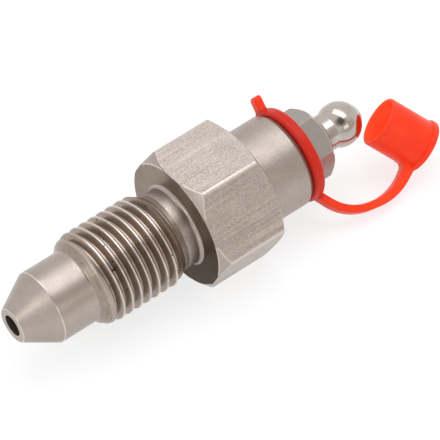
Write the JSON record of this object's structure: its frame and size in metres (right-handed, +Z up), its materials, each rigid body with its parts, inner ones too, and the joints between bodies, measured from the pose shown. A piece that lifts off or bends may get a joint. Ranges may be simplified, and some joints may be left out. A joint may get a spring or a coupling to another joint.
{
  "type": "track adjuster grease valve",
  "caption": "Hex-bodied screw-in grease valve with cone nose and check ball, rear grease nipple, and a dust cap on a strap.",
  "frame": {"origin": "middle of the outlet's mouth in the nose tip", "axes": "+X along the valve axis from the nose tip to the grease nipple; +Z up, square to the hexagon flat that the valve lies on; -Y towards the side that the picture shows"},
  "size_m": [0.0696, 0.022, 0.019],
  "materials": {
    "body_steel": "satin nickel plate over turned and milled steel",
    "nipple_steel": "bright nickel plate",
    "ball_steel": "polished",
    "spring_steel": "drawn wire",
    "cap_plastic": "glossy moulded"
  },
  "bodies": {
    "valve": {"valve_body": "body_steel", "grease_nipple": "nipple_steel", "check_spring": "spring_steel", "nipple_spring": "spring_steel"},
    "check_valve_ball": {"check_ball": "ball_steel"},
    "nipple_inlet_ball": {"nipple_ball": "ball_steel"},
    "cap": {"dust_cap": "cap_plastic"}
  },
  "joints": [
    {"name": "check_ball_lift", "type": "slide", "parent": "valve", "child": "check_valve_ball", "axis": [-1, 0, 0], "range_m": [0, 0.0015], "stiffness_N_per_m": 1268, "springref_m": -0.0015, "deforming": ["check_spring"]},
    {"name": "nipple_ball_lift", "type": "slide", "parent": "valve", "child": "nipple_inlet_ball", "axis": [-1, 0, 0], "range_m": [0, 0.001], "stiffness_N_per_m": 2144, "springref_m": -0.001, "deforming": ["nipple_spring"]},
    {"name": "dust_cap_turn", "type": "hinge", "parent": "valve", "child": "cap", "pos_m": [0.0479, 0, 0], "axis": [1, 0, 0], "continuous": true}
  ]
}
